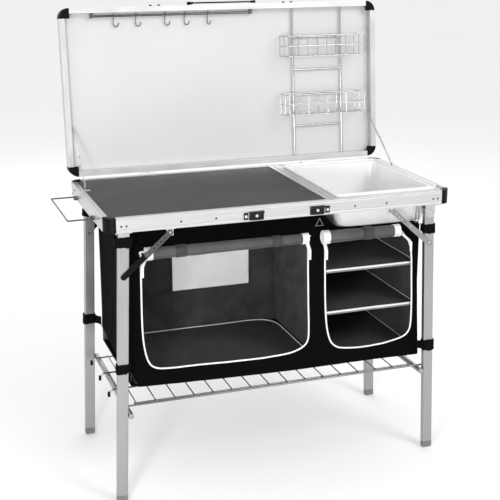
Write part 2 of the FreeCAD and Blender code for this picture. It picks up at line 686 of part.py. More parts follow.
for e, name in SIDES.items():
    turn = mirror_x if e < 0 else (lambda s: s)
    node(f"stay_lower_{name}", turn(stay_lower()))
    node(f"stay_upper_{name}", turn(stay_upper()))
for e in (-1, 1):
    pivot = rod((e * (X - 30), stay_lid.y, stay_lid.z), (e * (X - 10), stay_lid.y, stay_lid.z), 2.1)
    nodes["lid_side_rails"] = [s.cut(pivot) for s in nodes["lid_side_rails"]]
node("stay_brackets", mirror_x(stay_bracket(STAY_X - 12, PANEL_TOP - POCKET)), stay_bracket(X - 3, HEIGHT))

# ---------------------------------------------------------------- wire shelf
END_X, SHORT_X, CROSS, CROSS_X, CROSS_R = 460.0, 425.0, 16, 420.0, 1.8
TIP_R, TIP_X, TIP_DROP, TIP_L = 4.0, 471.0, 10.0, 14.0


def end_bend(end, y):
    """Last short run of a long wire, turned down outside the crossbar."""
    a, b = (end * END_X, y, SHELF_Z), (end * TIP_X, y, SHELF_Z - TIP_DROP)
    return fused([ball(a, SHELF_R), rod(a, b, SHELF_R), ball(b, SHELF_R)])


def wire_shelf():
    """Flat grille: long wires along the table with short wires lying across them."""
    parts = []
    for y in SHELF_Y:
        end = SHORT_X if y == SHELF_Y[1] else END_X
        parts.append(rod((-end, y, SHELF_Z), (end, y, SHELF_Z), SHELF_R))
        if end == END_X:
            parts += [end_bend(e, y) for e in (-1, 1)]
    for i in range(CROSS):
        x = CROSS_X * (2 * i / (CROSS - 1) - 1)
        z = SHELF_Z + SHELF_R + 0.8
        parts.append(rod((x, SHELF_Y[0] - 1.5, z), (x, SHELF_Y[-1] + 1.5, z), CROSS_R))
    return fused(parts)


def shelf_tip(end, y):
    """Cap over the turned-down end of a long wire."""
    x, z = end * TIP_X, SHELF_Z - TIP_DROP + TIP_R
    return rod((x, y, z), (x, y, z - TIP_L), TIP_R).cut(end_bend(end, y))


node("wire_shelf", wire_shelf())
node("shelf_tips", *[shelf_tip(e, y) for y in (SHELF_Y[0], *SHELF_Y[2:]) for e in (-1, 1)])

# ---------------------------------------------------------------- fabric cabinet
LEFT_OPEN, LEFT_Z = (-396.0, 88.0), (362.0, 716.0)
RIGHT_OPEN, RIGHT_Z = (140.0, 413.0), (356.0, 698.0)
face_y = (-CAB_Y, -CAB_Y + CLOTH)
front = [
    box((-CAB_X, LEFT_OPEN[0]), face_y, (CAB_HEM, CAB_TOP)),
    box((LEFT_OPEN[1], CAB_STEP), face_y, (CAB_HEM, CAB_TOP)),
    box((CAB_STEP, RIGHT_OPEN[0]), face_y, (CAB_HEM, CAB_FRONT_TOP)),
    box((RIGHT_OPEN[1], CAB_X), face_y, (CAB_HEM, CAB_FRONT_TOP)),
    box(LEFT_OPEN, face_y, (CAB_HEM, LEFT_Z[0])),
    box(LEFT_OPEN, face_y, (LEFT_Z[1], CAB_TOP)),
    box(RIGHT_OPEN, face_y, (CAB_HEM, RIGHT_Z[0])),
    box(RIGHT_OPEN, face_y, (RIGHT_Z[1], CAB_FRONT_TOP)),
]
node("cabinet_front", *front)
inside = (-CAB_Y + CLOTH, CAB_Y - CLOTH)
shell = [
    box((-CAB_X, -CAB_X + CLOTH), inside, (CAB_Z + CLOTH, CAB_TOP)),
    box((CAB_X - CLOTH, CAB_X), inside, (CAB_Z + CLOTH, CAB_RIGHT_TOP)),
    box((-CAB_X, CAB_MID), (CAB_Y - CLOTH, CAB_Y), (CAB_Z, CAB_TOP)),
    box((CAB_MID, CAB_X), (CAB_Y - CLOTH, CAB_Y), (CAB_Z, CAB_RIGHT_TOP)),
    box((-CAB_X, CAB_X), inside, (CAB_Z, CAB_Z + CLOTH)),
]
node("cabinet_shell", *shell)
node("cabinet_divider", box((CAB_MID, CAB_MID + CLOTH), inside, (CAB_Z + CLOTH, CAB_TOP - 4)))
left_x = (-CAB_X + CLOTH + 1, CAB_MID - 1)
right_x = (CAB_MID + CLOTH + 1, CAB_X - CLOTH - 1)
board_y = (inside[0] + 1, inside[1] - 1)
floor_z = CAB_Z + CLOTH
boards = [box(left_x, board_y, (floor_z, floor_z + BOARD_T))]
boards += [box(right_x, board_y, (z, z + BOARD_T)) for z in (floor_z, *BOARDS_Z)]
node("cabinet_boards", *boards)


def door_roll(x, r, z):
    return rod((x[0], -CAB_Y - r, z), (x[1], -CAB_Y - r, z), r)


ROLLS = (((-388.0, 76.0), 15.0, 702.0), ((124.0, 354.0), 18.0, 700.0))
node("cabinet_door_rolls", *[door_roll(*roll) for roll in ROLLS])


def leg_strap(side_, end, z, h, in_x=17.0, in_y=10.0):
    """Webbing loop round a leg with a short tail to the cabinet's corner."""
    x = side_ * (LEG_X + (LEG_Z - z - h / 2) * tan(radians(LEG_SPLAY)))
    y = end * LEG_Y[side_]
    t = 2
    out_x, out_y = in_x + t, in_y + t
    ring = box((x - out_x, x + out_x), (y - out_y, y + out_y), (z, z + h)).cut(
        box((x - in_x, x + in_x), (y - in_y, y + in_y), (z, z + h))
    )
    corner_x, ring_y = side_ * CAB_X, end * (LEG_Y[side_] - out_y)
    tail = box((x - side_ * out_x, corner_x), (ring_y, ring_y - end * t), (z, z + h))
    drop = box((corner_x, corner_x - side_ * t), (ring_y, end * CAB_Y), (z, z + h))
    return fused([ring, tail, drop])


def roll_strap(x, roll):
    """Webbing band that holds a rolled door up."""
    _, r, z = roll
    y = -CAB_Y - r
    ends = (x - 12, y, z), (x + 12, y, z)
    band = rod(*ends, r + 1.2).cut(rod(*ends, r + 0.2))
    return band.cut(box((x - 20, x + 20), (-CAB_Y, -CAB_Y + 10), (z - 40, z + 40)))


straps = [leg_strap(-1, -1, 738, 22, 22.5, 14.0), leg_strap(-1, 1, 706, 22)]
straps += [leg_strap(-1, -1, 383, 25), leg_strap(-1, 1, 367, 31)]
for end in (-1, 1):
    straps += [leg_strap(1, end, 685, 25), leg_strap(1, end, 322, 31)]
straps += [roll_strap(-290, ROLLS[0]), roll_strap(-16, ROLLS[0]), roll_strap(257, ROLLS[1])]
node("cabinet_straps", *straps)


def ring_link(points, r):
    return bent_rod([*points, points[0]], r).fuse(ball(points[0], r)).removeSplitter()


hook_y = -CAB_Y - 2.4
node(
    "cabinet_rings",
    ring_link([(105, hook_y, 730), (117, hook_y, 751), (129, hook_y, 730)], 1.2),
    ring_link([(416, hook_y, 713), (419, hook_y, 768), (427, hook_y, 768), (427, hook_y, 713)], 1.2),
)


def pull(x, z, h):
    return rounded((x - 3.5, x + 3.5), (-CAB_Y - 3, -CAB_Y), (z - h, z), 1)


PULLS = ((-396, 672, 24), (88, 676, 26), (139, 674, 30), (402, 671, 30))
node("zip_pulls", *[pull(*p) for p in PULLS])

# ---------------------------------------------------------------- export about the bounding box
everything = Part.makeCompound([s for shapes in nodes.values() for s in shapes])
bounds = everything.BoundBox
shift = V(-(bounds.XMin + bounds.XMax) / 2, -(bounds.YMin + bounds.YMax) / 2, -bounds.ZMin)
os.makedirs("parts", exist_ok=True)
for name, shapes in nodes.items():
    shape = Part.makeCompound(shapes) if len(shapes) > 1 else shapes[0]
    shape.translate(shift)
    shape.exportStep(f"parts/{name}.step")
print(len(nodes), "nodes, shift", tuple(round(v, 3) for v in shift))
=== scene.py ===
"""Looks of a camp kitchen table: materials for the hard parts, and the fabric cabinet between the legs."""
from math import cos, pi, radians, sin, tan

import bmesh
import bpy
import numpy as np
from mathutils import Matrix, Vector, noise


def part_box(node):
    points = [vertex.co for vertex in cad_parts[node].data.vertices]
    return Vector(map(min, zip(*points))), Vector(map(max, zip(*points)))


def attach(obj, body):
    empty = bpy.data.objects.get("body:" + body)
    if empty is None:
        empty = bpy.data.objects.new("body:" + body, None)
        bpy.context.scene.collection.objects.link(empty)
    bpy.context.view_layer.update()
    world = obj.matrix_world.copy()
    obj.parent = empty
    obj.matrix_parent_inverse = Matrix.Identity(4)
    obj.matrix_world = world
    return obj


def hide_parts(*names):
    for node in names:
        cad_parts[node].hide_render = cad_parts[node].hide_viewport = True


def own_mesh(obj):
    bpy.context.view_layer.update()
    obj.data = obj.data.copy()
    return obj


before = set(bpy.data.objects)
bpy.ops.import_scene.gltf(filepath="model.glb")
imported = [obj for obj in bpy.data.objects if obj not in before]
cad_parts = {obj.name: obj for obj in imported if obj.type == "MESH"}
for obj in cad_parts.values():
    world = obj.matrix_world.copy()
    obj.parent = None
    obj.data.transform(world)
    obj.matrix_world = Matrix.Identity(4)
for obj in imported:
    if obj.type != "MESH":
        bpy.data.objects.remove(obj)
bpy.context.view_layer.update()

front_lo, front_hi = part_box("front_rail")
rear_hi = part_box("rear_rail")[1]
ORIGIN = Vector(((front_lo.x + front_hi.x) / 2, (front_lo.y + rear_hi.y) / 2, 0))


def local(node):
    """Box of a CAD node measured from the middle of the case."""
    lo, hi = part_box(node)
    return lo - ORIGIN, hi - ORIGIN


# ---------------------------------------------------------------- materials
class Look:
    """A procedural material built up from a Principled shader."""

    def __init__(self, name, color, roughness, metallic=0.0, **sockets):
        self.mat = bpy.data.materials.new(name)
        self.mat.use_nodes = True
        self.tree = self.mat.node_tree
        self.shader = self.tree.nodes["Principled BSDF"]
        self.shader.inputs["Base Color"].default_value = (*color, 1)
        self.shader.inputs["Roughness"].default_value = roughness
        self.shader.inputs["Metallic"].default_value = metallic
        self.mat.diffuse_color = (*color, 1)
        for key, value in sockets.items():
            self.shader.inputs[key.replace("_", " ")].default_value = value
        self.color, self.roughness = color, roughness
        self.coords = self.tree.nodes.new("ShaderNodeTexCoord").outputs["Object"]
        self.height = None

    def node(self, kind, **settings):
        n = self.tree.nodes.new("ShaderNode" + kind)
        for key, value in settings.items():
            if hasattr(n, key):
                setattr(n, key, value)
            else:
                n.inputs[key.replace("_", " ")].default_value = value
        return n

    def link(self, a, b):
        self.tree.links.new(a, b)

    def scaled(self, scale, rotation=(0, 0, 0)):
        m = self.node("Mapping", Scale=scale, Rotation=rotation)
        self.link(self.coords, m.inputs["Vector"])
        return m.outputs["Vector"]

    def noise(self, scale, stretch=(1, 1, 1), detail=4.0, roughness=0.55):
        n = self.node("TexNoise", Scale=scale, Detail=detail, Roughness=roughness)
        self.link(self.scaled(stretch), n.inputs["Vector"])
        return n.outputs["Fac"]

    def waves(self, axis, period):
        """Soft bands across an axis, with the given period in metres."""
        n = self.node("TexWave", wave_type="BANDS", bands_direction=axis, wave_profile="SIN",
                      Scale=2 * pi / period / 20, Distortion=0.0)
        self.link(self.coords, n.inputs["Vector"])
        return n.outputs["Fac"]

    def remap(self, value, a, b, low, high):
        n = self.node("MapRange", From_Min=a, From_Max=b, To_Min=low, To_Max=high)
        self.link(value, n.inputs["Value"])
        return n.outputs["Result"]

    def math(self, operation, a, b):
        n = self.node("Math", operation=operation)
        for socket, value in zip(n.inputs, (a, b)):
            if isinstance(value, (int, float)):
                socket.default_value = value
            else:
                self.link(value, socket)
        return n.outputs["Value"]

    def mix(self, factor, a, b):
        """Blend two colours, or a colour socket and a colour, by a factor socket."""
        n = self.node("Mix", data_type="RGBA")
        self.link(factor, n.inputs[0])
        for socket, value in ((n.inputs[6], a), (n.inputs[7], b)):
            if isinstance(value, tuple):
                socket.default_value = (*value, 1)
            else:
                self.link(value, socket)
        return n.outputs[2]

    def paint(self, color):
        self.link(color, self.shader.inputs["Base Color"])
        return self

    def vary(self, source, amount, a=0.3, b=0.7):
        """Let the colour drift lighter and darker with a noise."""
        dark = tuple(c * (1 - amount) for c in self.color)
        light = tuple(min(1, c * (1 + amount)) for c in self.color)
        return self.mix(self.remap(source, a, b, 0, 1), dark, light)

    def gloss(self, source, spread, a=0.3, b=0.7):
        low, high = max(0, self.roughness - spread), min(1, self.roughness + spread)
        self.link(self.remap(source, a, b, low, high), self.shader.inputs["Roughness"])
        return self

    def relief(self, *layers):
        """Bump from (height socket, metres) layers, over slightly rounded edges."""
        normal = self.node("Bevel", samples=4, Radius=0.0007).outputs["Normal"]
        for source, distance in layers:
            n = self.node("Bump", Strength=1.0, Distance=distance)
            self.link(source, n.inputs["Height"])
            self.link(normal, n.inputs["Normal"])
            normal = n.outputs["Normal"]
        self.link(normal, self.shader.inputs["Normal"])
        return self

    def edges(self):
        """Nought on flat faces, rising to one along the edges: the mask for edge wear and for painted edge
        highlights.
        """
        bevel = self.node("Bevel", samples=4, Radius=0.0012).outputs["Normal"]
        geometry = self.node("NewGeometry").outputs["Normal"]
        dot = self.node("VectorMath", operation="DOT_PRODUCT")
        self.link(bevel, dot.inputs[0])
        self.link(geometry, dot.inputs[1])
        return self.remap(dot.outputs["Value"], 0.99, 0.85, 0, 1)

    def spots(self, centres, radius):
        """One within radius of any of the lines that run along Y through (x, z) centres."""
        total = None
        for x, z in centres:
            d = self.node("VectorMath", operation="DISTANCE")
            flat = self.node("VectorMath", operation="MULTIPLY")
            flat.inputs[1].default_value = (1, 0, 1)
            self.link(self.coords, flat.inputs[0])
            self.link(flat.outputs["Vector"], d.inputs[0])
            d.inputs[1].default_value = (x, 0, z)
            inside = self.remap(d.outputs["Value"], radius + 0.0003, radius - 0.0003, 0, 1)
            total = inside if total is None else self.math("MAXIMUM", total, inside)
        return total


def aluminium(name, color, grain, roughness=0.34):
    """Satin anodised extrusion with fine lines along it, handling marks, and edges lightened partly by wear
    and partly as a painted highlight.
    """
    look = Look(name, color, roughness, 0.9)
    lines = look.noise(9, grain, 3, 0.7)
    smudge = look.noise(11, detail=5)
    # lighter colour along the edges: partly edge wear, partly a painted highlight
    bright = tuple(min(1, c * 1.12) for c in color)
    look.paint(look.mix(look.edges(), look.vary(lines, 0.07, 0.35, 0.65), bright))
    look.gloss(smudge, 0.07)
    return look.relief((lines, 0.00003), (smudge, 0.00012)).mat


def steel(name, color, roughness, metallic=1.0, **sockets):
    look = Look(name, color, roughness, metallic, **sockets)
    spots = look.noise(160, detail=3)
    # lighter colour along the edges: partly edge wear, partly a painted highlight
    look.paint(look.mix(look.edges(), look.vary(spots, 0.14), tuple(min(1, c * 1.5 + 0.02) for c in color)))
    return look.gloss(look.noise(35), 0.09).relief((spots, 0.00005)).mat


def plastic(name, color, roughness, grain=900, depth=0.00005, **sockets):
    look = Look(name, color, roughness, **sockets)
    fine = look.noise(grain, detail=2)
    # lighter colour along the edges: partly edge wear, partly a painted highlight
    worn_edge_and_highlight = tuple(min(1, c * 1.25 + 0.012) for c in color)
    look.paint(look.mix(look.edges(), look.vary(look.noise(18), 0.07), worn_edge_and_highlight))
    return look.gloss(look.noise(30), 0.06).relief((fine, depth)).mat


def cloth(name, color, amount=0.16, period=0.0011, roughness=0.82, sheen=0.12, depth=0.00018, spec=0.4):
    """Coated woven fabric: a square weave, slubs, dusty mottling and a little sheen."""
    look = Look(name, color, roughness, Sheen_Weight=sheen, Sheen_Roughness=0.5, Specular_IOR_Level=spec)
    weave = look.math("ADD", look.waves("X", period), look.waves("Z", period))
    weave = look.math("ADD", weave, look.waves("Y", period))
    slub = look.noise(420, detail=2)
    cloudy = look.noise(14, detail=6, roughness=0.65)
    tone = look.math("ADD", look.math("MULTIPLY", slub, 0.45), look.math("MULTIPLY", cloudy, 0.55))
    look.paint(look.vary(tone, amount, 0.36, 0.64)).gloss(slub, 0.08)
    return look.relief((cloudy, 0.0012), (weave, depth), (slub, 0.0001)).mat


def ribbed(name, color, axis, period, roughness=0.7, sheen=0.2, spec=0.4):
    """Webbing or tape with ribs across an axis."""
    look = Look(name, color, roughness, Sheen_Weight=sheen, Specular_IOR_Level=spec)
    ribs = look.waves(axis, period)
    fuzz = look.noise(700, detail=2)
    look.paint(look.vary(look.math("MULTIPLY", ribs, fuzz), 0.3, 0.1, 0.6)).gloss(fuzz, 0.07)
    return look.relief((ribs, 0.0003), (fuzz, 0.00012)).mat


M = {
    "alu_x": aluminium("aluminium_x", (0.60, 0.60, 0.605), (0.4, 60, 60)),
    "alu_y": aluminium("aluminium_y", (0.60, 0.60, 0.605), (60, 0.4, 60)),
    "alu_z": aluminium("aluminium_z", (0.60, 0.60, 0.605), (60, 60, 0.4)),
    "lid_rail": aluminium("lid_aluminium", (0.68, 0.68, 0.685), (0.4, 60, 60)),
    "leg": aluminium("leg_aluminium", (0.37, 0.37, 0.373), (60, 60, 0.4), 0.38),
    "bar": aluminium("bar_aluminium", (0.36, 0.36, 0.365), (60, 0.4, 60), 0.36),
    "strut": steel("strut_steel", (0.30, 0.30, 0.305), 0.36),
    "plated": steel("plated_steel", (0.52, 0.52, 0.53), 0.3),
    "rivet": steel("rivet_steel", (0.10, 0.10, 0.10), 0.4, 0.6),
    "rail_wire": steel("rail_wire", (0.13, 0.13, 0.132), 0.25),
    "wire": steel("wire_steel", (0.20, 0.20, 0.205), 0.2),
    "chrome": steel("chrome_wire", (0.42, 0.42, 0.43), 0.16),
    "graphite": steel("graphite_steel", (0.085, 0.085, 0.087), 0.34, 0.8),
    "black": plastic("black_plastic", (0.002, 0.002, 0.002), 0.45, Specular_IOR_Level=0.1),
    "rubber": plastic("foot_rubber", (0.17, 0.17, 0.17), 0.6, 500, 0.0001),
    "fabric": cloth("cabinet_fabric", (0.0014, 0.0014, 0.0015), 0.3, 0.0011, 0.9, 0.0, spec=0.06),
    "lining": cloth("lining_fabric", (0.050, 0.050, 0.051), 0.5, 0.0011, 0.75, 0.05, spec=0.3),
    "board": cloth("board_fabric", (0.034, 0.034, 0.035), 0.3, 0.0016, 0.8, 0.05, 0.0003, spec=0.3),
    "roll": cloth("roll_fabric", (0.058, 0.058, 0.059), 0.45, 0.0012, 0.62, 0.1),
    "piping": cloth("piping_fabric", (0.80, 0.80, 0.80), 0.1, 0.0014, 0.6, 0.1),
    "lip": cloth("lip_fabric", (0.22, 0.22, 0.22), 0.25, 0.0014, 0.7, 0.1),
    "tape": ribbed("zip_tape", (0.74, 0.74, 0.74), "Z", 0.0024, 0.55),
    "webbing": ribbed("black_webbing", (0.0022, 0.0022, 0.0023), "Z", 0.0022, 0.85, 0.0, spec=0.08),
    "roll_strap": ribbed("roll_webbing", (0.032, 0.032, 0.033), "X", 0.0022, 0.7, 0.1),
    "pull": plastic("zip_plastic", (0.78, 0.78, 0.78), 0.35),
}


def lid_panel_look():
    look = Look("lid_panel", (0.57, 0.562, 0.56), 0.5, Specular_IOR_Level=0.3)
    fine = look.noise(260, detail=3)
    look.paint(look.vary(look.noise(3, detail=5), 0.03)).gloss(look.noise(8), 0.05)
    return look.relief((fine, 0.00004), (look.noise(2.2, detail=2), 0.0012)).mat


def worktop_look():
    """Laminate with a fine sparkle grain and faint wiping marks."""
    look = Look("worktop", (0.030, 0.030, 0.031), 0.5, Specular_IOR_Level=0.25)
    grain = look.noise(950, detail=2)
    wiped = look.noise(3, (1, 1.6, 1), 4)
    speck = look.remap(grain, 0.6, 0.72, 0, 1)
    look.paint(look.mix(speck, look.vary(wiped, 0.05), (0.045, 0.045, 0.046)))
    return look.gloss(wiped, 0.06).relief((grain, 0.00006)).mat


def sink_look():
    look = Look("sink_plastic", (0.78, 0.78, 0.775), 0.24, Coat_Weight=0.15)
    look.paint(look.vary(look.noise(9), 0.025)).gloss(look.noise(20), 0.05)
    return look.relief((look.noise(700, detail=2), 0.00003), (look.noise(6, detail=1), 0.0006)).mat


def riveted(name, base, bright, centres, radius):
    """Coated steel whose rivet heads are bare metal."""
    look = Look(name, base, 0.42, Specular_IOR_Level=0.2)
    mask = look.spots(centres, radius)
    fine = look.noise(300, detail=3)
    # plates lighter along their edges: partly edge wear, partly a painted highlight; the rivet heads are
    # bare metal
    look.paint(look.mix(mask, look.mix(look.edges(), look.vary(fine, 0.2), (0.09, 0.09, 0.09)), bright))
    look.link(look.math("MULTIPLY", mask, 0.95), look.shader.inputs["Metallic"])
    return look.gloss(look.noise(40), 0.08).relief((fine, 0.00005)).mat


def middle(node):
    lo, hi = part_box(node)
    return (lo + hi) / 2


latch_z = middle("latch_plates").z - 0.0003
lever_z = middle("latch_lever_left").z - 0.0003
lever_x = [middle(f"latch_lever_{s}").x for s in ("left", "right")]
KEEPER_GAP = 0.030
keeper_x = [lever_x[0] - KEEPER_GAP, lever_x[1] + KEEPER_GAP]
M["latch"] = riveted(
    "latch_steel", (0.006, 0.006, 0.006), (0.70, 0.70, 0.70),
    [(x, lever_z) for x in lever_x] + [(x, latch_z) for x in keeper_x], 0.0042,
)
M["lid_panel"], M["worktop"], M["sink"] = lid_panel_look(), worktop_look(), sink_look()

FINISH = {
    "alu_x": ["front_rail", "rear_rail"],
    "alu_y": ["side_rails", "sink_frame"],
    "alu_z": ["lid_side_rails"],
    "lid_rail": ["lid_top_rail", "lid_bottom_rail", "hinge_leaves_lid", "hinge_leaves_base"],
    "leg": ["legs_left", "legs_right"],
    "bar": ["crossbar_left", "crossbar_right"],
    "strut": ["strut_upper_right", "strut_lower_right"],
    "plated": ["stay_brackets", "stay_lower_left", "stay_lower_right",
               "stay_upper_left", "stay_upper_right", "leg_brackets", "strut_brackets", "lid_strikes"],
    "rivet": ["rail_rivets"],
    "rail_wire": ["hook_rail", "hook_1", "hook_2", "hook_3", "hook_4", "hook_5"],
    "chrome": ["basket_upper", "basket_lower", "spice_ladder"],
    "wire": ["wire_shelf", "cabinet_rings"],
    "graphite": ["towel_rail", "towel_rail_clips", "strut_upper_left"],
    "latch": ["latch_plates", "latch_lever_left", "latch_lever_right"],
    "black": ["base_corners", "lid_corners", "lid_studs", "shelf_tips", "handle_bail", "handle_mounts",
              "strut_lower_left"],
    "rubber": ["feet_left", "feet_right"],
    "lid_panel": ["lid_panel"], "worktop": ["worktop_panel"], "sink": ["sink_basin"],
}
for look_name, names in FINISH.items():
    for name in names:
        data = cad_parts[name].data
        data.materials.clear()
        data.materials.append(M[look_name])

# ---------------------------------------------------------------- mesh tools
TOP = local("cabinet_shell")[1].z


def finished(obj):
    """Apply the object's modifiers."""
    graph = bpy.context.evaluated_depsgraph_get()
    data = bpy.data.meshes.new_from_object(obj.evaluated_get(graph))
    obj.modifiers.clear()
    obj.data = data
    return obj


def piece(name, verts, faces, materials, slot_name, thickness=0.0, offset=0.0, levels=0, squash=True):
    """Mesh object measured from the middle of the case, on the base."""
    data = bpy.data.meshes.new(name)
    data.from_pydata([tuple(Vector(v) + ORIGIN) for v in verts], [], [tuple(map(int, f)) for f in faces])
    data.update()
    obj = bpy.data.objects.new(name, data)
    bpy.context.scene.collection.objects.link(obj)
    for m in materials:
        data.materials.append(M[m])
    if thickness:
        mod = obj.modifiers.new("thickness", "SOLIDIFY")
        mod.thickness, mod.offset = thickness, offset
        mod.material_offset = len(materials) - 1
    if levels:
        obj.modifiers.new("smooth", "SUBSURF").levels = levels
        obj.modifiers["smooth"].render_levels = levels
    if obj.modifiers:
        finished(obj)
    obj.data.polygons.foreach_set("use_smooth", [True] * len(obj.data.polygons))
    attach(obj, "base")
    if squash:
        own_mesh(obj)
    return obj


def grid_faces(nu, nv, close_u=False):
    """Quads of a grid whose points run v fastest, nu by nv points."""
    faces = []
    for i in range(nu if close_u else nu - 1):
        j = (i + 1) % nu
        for k in range(nv - 1):
            faces.append((i * nv + k, j * nv + k, j * nv + k + 1, i * nv + k + 1))
    return faces


def rounded_poly(points, radii, n=9):
    """Closed outline with each corner eased over its radius."""
    out = []
    pts = [Vector(p) for p in points]
    for i, p in enumerate(pts):
        a, b, r = pts[i - 1], pts[(i + 1) % len(pts)], radii[i]
        start, end = p + (a - p).normalized() * r, p + (b - p).normalized() * r
        for k in range(n + 1):
            t = k / n
            out.append(start * (1 - t) ** 2 + p * 2 * t * (1 - t) + end * t * t)
    return np.array([tuple(v) for v in out])


def smooth_loop(points, n=8):
    """Closed curve through points, with n steps between neighbours."""
    p = np.array(points)
    a, d, e = np.roll(p, 1, 0), np.roll(p, -1, 0), np.roll(p, -2, 0)
    out = []
    for i in range(len(p)):
        for k in range(n):
            t = k / n
            out.append(0.5 * (2 * p[i] + (d[i] - a[i]) * t + (2 * a[i] - 5 * p[i] + 4 * d[i] - e[i]) * t * t
                              + (3 * p[i] - a[i] - 3 * d[i] + e[i]) * t ** 3))
    return np.array(out)


def nearest(p, poly):
    """For each point: distance to the outline, nearest outline point, and whether it is inside."""
    a, b = poly, np.roll(poly, -1, 0)
    ab = b - a
    length = np.maximum((ab * ab).sum(-1), 1e-12)
    t = np.clip(((p[:, None] - a) * ab).sum(-1) / length, 0, 1)
    near = a + t[..., None] * ab
    d = np.linalg.norm(p[:, None] - near, axis=-1)
    i = d.argmin(1)
    rows = np.arange(len(p))
    above = (a[:, 1] > p[:, 1:2]) != (b[:, 1] > p[:, 1:2])
    drop = np.where(np.abs(ab[:, 1]) < 1e-12, 1e-12, ab[:, 1])
    cross = p[:, 0:1] < a[:, 0] + (p[:, 1:2] - a[:, 1]) * ab[:, 0] / drop
    return d[rows, i], near[rows, i], (above & cross).sum(1) % 2 == 1


def cut_sheet(outline, holes, step):
    """Flat grid trimmed to an outline and holes, with its border vertices on them."""
    lo, hi = outline.min(0), outline.max(0)
    nu, nv = (int(round(s / step)) + 1 for s in hi - lo)
    us, vs = np.linspace(lo[0], hi[0], nu), np.linspace(lo[1], hi[1], nv)
    points = np.array([(u, v) for u in us for v in vs])
    faces = np.array(grid_faces(nu, nv))
    centres = points[faces].mean(1)
    keep = nearest(centres, outline)[2]
    for hole in holes:
        keep &= ~nearest(centres, hole)[2]
    faces = faces[keep]
    edges = {}
    for f in faces:
        for a, b in zip(f, np.roll(f, -1)):
            edges[frozenset((a, b))] = edges.get(frozenset((a, b)), 0) + 1
    border = sorted({v for e, n in edges.items() if n == 1 for v in e})
    found = [nearest(points[border], poly) for poly in (outline, *holes)]
    best = np.argmin([f[0] for f in found], 0)
    for row, v in enumerate(border):
        points[v] = found[best[row]][1][row]
    used = sorted(set(faces.ravel()))
    place = {v: i for i, v in enumerate(used)}
    return points[used], [[place[v] for v in f] for f in faces]


def wrinkle(p, scale, seed):
    return noise.noise(Vector(p) * scale + Vector((seed, seed * 1.7, seed * 0.3)))


def folds(p, seed, along=(1, 1, 1)):
    """Soft creases: broad swells crossed by sharper slanting ridges."""
    q = Vector((p[0] * along[0], p[1] * along[1], p[2] * along[2]))
    slant = Vector((q.x + 0.5 * q.z, q.y + 0.6 * q.z, 0.35 * q.z - 0.3 * q.y))
    ridge = max(0.0, 1 - abs(wrinkle(slant, 11, seed)) * 2.2) ** 2
    fine = max(0.0, 1 - abs(wrinkle(slant, 23, seed + 5)) * 2.4) ** 2
    return 0.5 * wrinkle(q, 5, seed + 3) + 0.42 * ridge - 0.2 + 0.16 * fine


def frame_along(points, closed):
    """Tangent, normal and binormal at each point of a path."""
    n = len(points)
    tangents = []
    for i in range(n):
        a = points[i - 1] if closed or i else points[0]
        b = points[(i + 1) % n] if closed or i < n - 1 else points[-1]
        tangents.append((b - a).normalized())
    normal = tangents[0].orthogonal().normalized()
    out = []
    for t in tangents:
        normal = (normal - t * normal.dot(t)).normalized()
        out.append((t, normal.copy(), t.cross(normal)))
    return out


def tube(points, radius, closed=False, sides=8):
    """Vertices and faces of a round cord through points."""
    points = [Vector(p) for p in points]
    verts = []
    for p, (_, n, b) in zip(points, frame_along(points, closed)):
        for k in range(sides):
            a = 2 * pi * k / sides
            verts.append(p + (n * cos(a) + b * sin(a)) * radius)
    faces = []
    count = len(points)
    for i in range(count if closed else count - 1):
        j = (i + 1) % count
        for k in range(sides):
            m = (k + 1) % sides
            faces.append((i * sides + k, j * sides + k, j * sides + m, i * sides + m))
    if not closed:
        faces.append(tuple(range(sides)))
        faces.append(tuple(range((count - 1) * sides, count * sides))[::-1])
    return verts, faces


def merge(parts):
    verts, faces = [], []
    for v, f in parts:
        base = len(verts)
        verts += list(v)
        faces += [tuple(base + i for i in g) for g in f]
    return verts, faces


def resampled(path, step, closed=True):
    """Points at even steps along a 2-D path."""
    pts = np.vstack([path, path[:1]]) if closed else np.asarray(path)
    seg = np.linalg.norm(np.diff(pts, axis=0), axis=1)
    s = np.concatenate([[0], np.cumsum(seg)])
    n = max(8, int(s[-1] / step))
    at = np.linspace(0, s[-1], n, endpoint=not closed)
    return np.stack([np.interp(at, s, pts[:, i]) for i in range(pts.shape[1])], 1)


# ---------------------------------------------------------------- cabinet
shell_lo, shell_hi = local("cabinet_shell")
CX, CY, BASE = shell_hi.x, local("cabinet_front")[0].y, shell_lo.z
REAR = shell_hi.y
MID = local("cabinet_divider")[0].x
RIGHT_TOP = BASE + 0.384
LEFT_HOLE = smooth_loop([
    (-0.388, 0.704), (-0.3955, 0.690), (-0.397, 0.60), (-0.3975, 0.50), (-0.394, 0.438), (-0.384, 0.392),
    (-0.366, 0.3705), (-0.328, 0.3635), (-0.236, 0.3615), (-0.148, 0.358), (-0.06, 0.3555), (0.000, 0.3575),
    (0.043, 0.3625), (0.0733, 0.3745), (0.0875, 0.395), (0.0890, 0.440), (0.0868, 0.51), (0.085, 0.60),
    (0.083, 0.690), (0.076, 0.704), (-0.1, 0.706), (-0.25, 0.706),
])
RIGHT_HOLE = smooth_loop([
    (0.142, 0.698), (0.1362, 0.685), (0.1365, 0.60), (0.138, 0.51), (0.1445, 0.432), (0.156, 0.385),
    (0.172, 0.364), (0.196, 0.3545), (0.250, 0.3490), (0.305, 0.3500), (0.352, 0.3555), (0.392, 0.3660),
    (0.4095, 0.3820), (0.4150, 0.410), (0.4148, 0.475), (0.4120, 0.54), (0.4085, 0.61), (0.402, 0.650),
    (0.383, 0.679), (0.360, 0.695), (0.27, 0.699),
])
